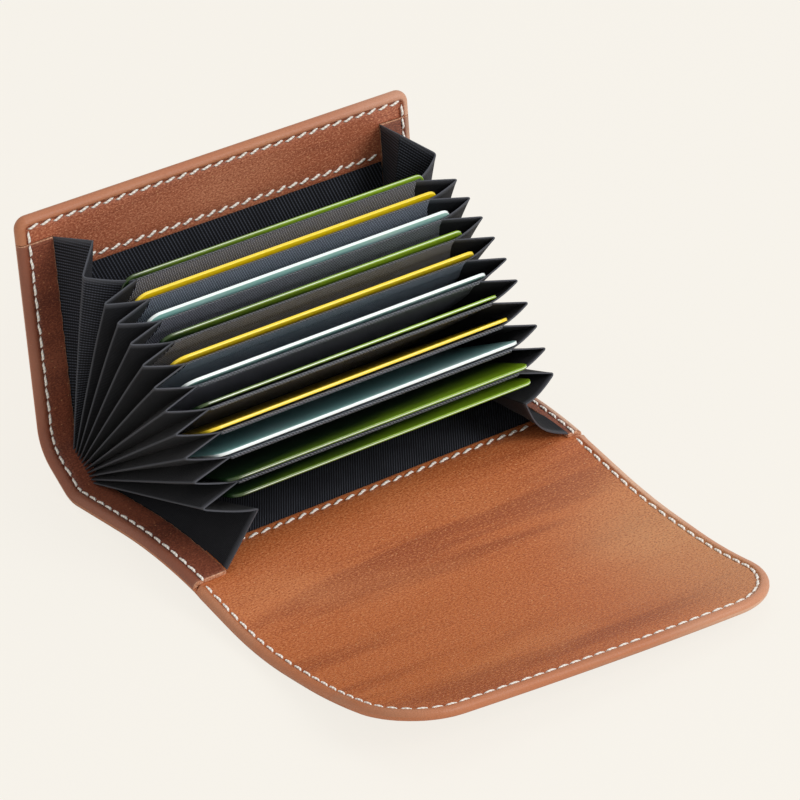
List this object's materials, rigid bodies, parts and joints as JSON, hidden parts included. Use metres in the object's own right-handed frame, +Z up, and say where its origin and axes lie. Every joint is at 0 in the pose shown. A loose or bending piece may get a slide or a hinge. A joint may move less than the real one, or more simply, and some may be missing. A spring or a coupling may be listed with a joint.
{
  "type": "card holder",
  "caption": "Leather card wallet lying open, with a fanned fabric accordion of pockets that hold cards, pleated side gussets and a long flap with a hidden magnet.",
  "frame": {"origin": "centre of the bounding box at the height of the table", "axes": "+X along the spine, -Y towards the flap's end, +Z up from the table"},
  "size_m": [0.1116, 0.1546, 0.0688],
  "materials": {
    "cover_leather": "smooth cognac leather with a soft sheen",
    "binding_leather": "cognac leather strip with cream saddle stitches",
    "lining_fabric": "near black ribbed lining",
    "accordion_fabric": "near black fine weave",
    "board": "hidden stiffener board",
    "magnet_steel": "hidden plated disc magnet",
    "card_green": "plain green card with a pale edge",
    "card_yellow": "plain yellow card",
    "card_teal": "plain pale teal card"
  },
  "bodies": {
    "front_cover": {"front_outer_leather": "cover_leather", "front_inner_leather": "cover_leather", "front_lining": "lining_fabric", "front_left_strip": "binding_leather", "front_right_strip": "binding_leather", "left_gusset": "accordion_fabric", "right_gusset": "accordion_fabric"},
    "spine": {"spine_outer_leather": "cover_leather", "spine_inner_leather": "cover_leather", "spine_lining": "lining_fabric", "spine_left_strip": "binding_leather", "spine_right_strip": "binding_leather"},
    "back_cover": {"back_outer_leather": "cover_leather", "back_stiffener": "board", "back_lining": "lining_fabric", "back_left_strip": "binding_leather", "back_right_strip": "binding_leather", "back_top_band": "cover_leather", "back_magnet": "magnet_steel"},
    "flap_bridge": {"bridge_outer_leather": "cover_leather", "bridge_inner_leather": "cover_leather"},
    "flap_end": {"flap_outer_leather": "cover_leather", "flap_inner_leather": "cover_leather", "flap_magnet": "magnet_steel"},
    "divider_01": {"divider_01": "accordion_fabric"},
    "divider_02": {"divider_02": "accordion_fabric"},
    "divider_03": {"divider_03": "accordion_fabric"},
    "divider_04": {"divider_04": "accordion_fabric"},
    "divider_05": {"divider_05": "accordion_fabric"},
    "divider_06": {"divider_06": "accordion_fabric"},
    "divider_07": {"divider_07": "accordion_fabric"},
    "divider_08": {"divider_08": "accordion_fabric"},
    "divider_09": {"divider_09": "accordion_fabric"},
    "divider_10": {"divider_10": "accordion_fabric"},
    "card_01": {"card_01": "card_green"},
    "card_02": {"card_02": "card_yellow"},
    "card_03": {"card_03": "card_teal"},
    "card_04": {"card_04": "card_green"},
    "card_05": {"card_05": "card_yellow"},
    "card_06": {"card_06": "card_teal"},
    "card_07": {"card_07": "card_green"},
    "card_08": {"card_08": "card_yellow"},
    "card_09": {"card_09": "card_teal"},
    "card_10": {"card_10": "card_green"},
    "card_11": {"card_11": "card_green"}
  },
  "joints": [
    {"name": "cover_opening", "type": "hinge", "parent": "divider_01", "child": "back_cover", "pos_m": [0, 0.06723, 0.01024], "axis": [1, 0, 0], "range_deg": [0, 25.5], "deforming": ["left_gusset", "right_gusset"]},
    {"name": "divider_10_fold", "type": "hinge", "parent": "front_cover", "child": "divider_10", "pos_m": [0, 0.05454, 0.00218], "axis": [1, 0, 0], "range_deg": [-0.01, 13.81]},
    {"name": "divider_09_fold", "type": "hinge", "parent": "divider_10", "child": "divider_09", "pos_m": [0, 0.05117, -0.00284], "axis": [1, 0, 0], "range_deg": [-0.01, 4.6]},
    {"name": "divider_08_fold", "type": "hinge", "parent": "divider_09", "child": "divider_08", "pos_m": [0, 0.05282, -0.00107], "axis": [1, 0, 0], "range_deg": [-0.01, 4.6]},
    {"name": "divider_07_fold", "type": "hinge", "parent": "divider_08", "child": "divider_07", "pos_m": [0, 0.05455, 0.00065], "axis": [1, 0, 0], "range_deg": [-0.01, 4.6]},
    {"name": "divider_06_fold", "type": "hinge", "parent": "divider_07", "child": "divider_06", "pos_m": [0, 0.05638, 0.00232], "axis": [1, 0, 0], "range_deg": [-0.01, 4.6]},
    {"name": "divider_05_fold", "type": "hinge", "parent": "divider_06", "child": "divider_05", "pos_m": [0, 0.05828, 0.00393], "axis": [1, 0, 0], "range_deg": [-0.01, 4.6]},
    {"name": "divider_04_fold", "type": "hinge", "parent": "divider_05", "child": "divider_04", "pos_m": [0, 0.06025, 0.00546], "axis": [1, 0, 0], "range_deg": [-0.01, 4.6]},
    {"name": "divider_03_fold", "type": "hinge", "parent": "divider_04", "child": "divider_03", "pos_m": [0, 0.0623, 0.00692], "axis": [1, 0, 0], "range_deg": [-0.01, 4.6]},
    {"name": "divider_02_fold", "type": "hinge", "parent": "divider_03", "child": "divider_02", "pos_m": [0, 0.0644, 0.00831], "axis": [1, 0, 0], "range_deg": [-0.01, 4.6]},
    {"name": "divider_01_fold", "type": "hinge", "parent": "divider_02", "child": "divider_01", "pos_m": [0, 0.06656, 0.00961], "axis": [1, 0, 0], "range_deg": [-0.01, 4.6]},
    {"name": "spine_crease", "type": "hinge", "parent": "front_cover", "child": "spine", "pos_m": [0, 0.05608, 0.00354], "axis": [1, 0, 0], "range_deg": [-0.01, 50.51]},
    {"name": "flap_first_bend", "type": "hinge", "parent": "front_cover", "child": "flap_bridge", "pos_m": [0, -0.00215, 0.00532], "axis": [-1, 0, 0], "range_deg": [0, 84]},
    {"name": "flap_second_bend", "type": "hinge", "parent": "flap_bridge", "child": "flap_end", "pos_m": [0, -0.03513, 0.0022], "axis": [-1, 0, 0], "range_deg": [0, 102]},
    {"name": "card_01_slide", "type": "slide", "parent": "divider_01", "child": "card_01", "axis": [0, 0.3322, -0.9432], "range_m": [-0.06, 0]},
    {"name": "card_02_slide", "type": "slide", "parent": "divider_02", "child": "card_02", "axis": [0, 0.4145, -0.91], "range_m": [-0.06, 0]},
    {"name": "card_03_slide", "type": "slide", "parent": "divider_03", "child": "card_03", "axis": [0, 0.4936, -0.8697], "range_m": [-0.06, 0]},
    {"name": "card_04_slide", "type": "slide", "parent": "divider_04", "child": "card_04", "axis": [0, 0.5688, -0.8225], "range_m": [-0.06, 0]},
    {"name": "card_05_slide", "type": "slide", "parent": "divider_05", "child": "card_05", "axis": [0, 0.6395, -0.7688], "range_m": [-0.06, 0]},
    {"name": "card_06_slide", "type": "slide", "parent": "divider_06", "child": "card_06", "axis": [0, 0.7052, -0.709], "range_m": [-0.06, 0]},
    {"name": "card_07_slide", "type": "slide", "parent": "divider_07", "child": "card_07", "axis": [0, 0.7653, -0.6437], "range_m": [-0.06, 0]},
    {"name": "card_08_slide", "type": "slide", "parent": "divider_08", "child": "card_08", "axis": [0, 0.8194, -0.5733], "range_m": [-0.06, 0]},
    {"name": "card_09_slide", "type": "slide", "parent": "divider_09", "child": "card_09", "axis": [0, 0.867, -0.4983], "range_m": [-0.06, 0]},
    {"name": "card_10_slide", "type": "slide", "parent": "divider_10", "child": "card_10", "axis": [0, 0.9078, -0.4195], "range_m": [-0.06, 0]},
    {"name": "card_11_slide", "type": "slide", "parent": "divider_10", "child": "card_11", "axis": [0, 0.9239, -0.3827], "range_m": [-0.06, 0]}
  ],
  "couplings": [
    {"joint": "divider_10_fold", "follows": "cover_opening", "ratio": 0.54118},
    {"joint": "divider_09_fold", "follows": "cover_opening", "ratio": 0.17996},
    {"joint": "divider_08_fold", "follows": "cover_opening", "ratio": 0.17996},
    {"joint": "divider_07_fold", "follows": "cover_opening", "ratio": 0.17996},
    {"joint": "divider_06_fold", "follows": "cover_opening", "ratio": 0.17996},
    {"joint": "divider_05_fold", "follows": "cover_opening", "ratio": 0.17996},
    {"joint": "divider_04_fold", "follows": "cover_opening", "ratio": 0.17996},
    {"joint": "divider_03_fold", "follows": "cover_opening", "ratio": 0.17996},
    {"joint": "divider_02_fold", "follows": "cover_opening", "ratio": 0.17996},
    {"joint": "divider_01_fold", "follows": "cover_opening", "ratio": 0.17996},
    {"joint": "spine_crease", "follows": "cover_opening", "ratio": 1.9804}
  ]
}
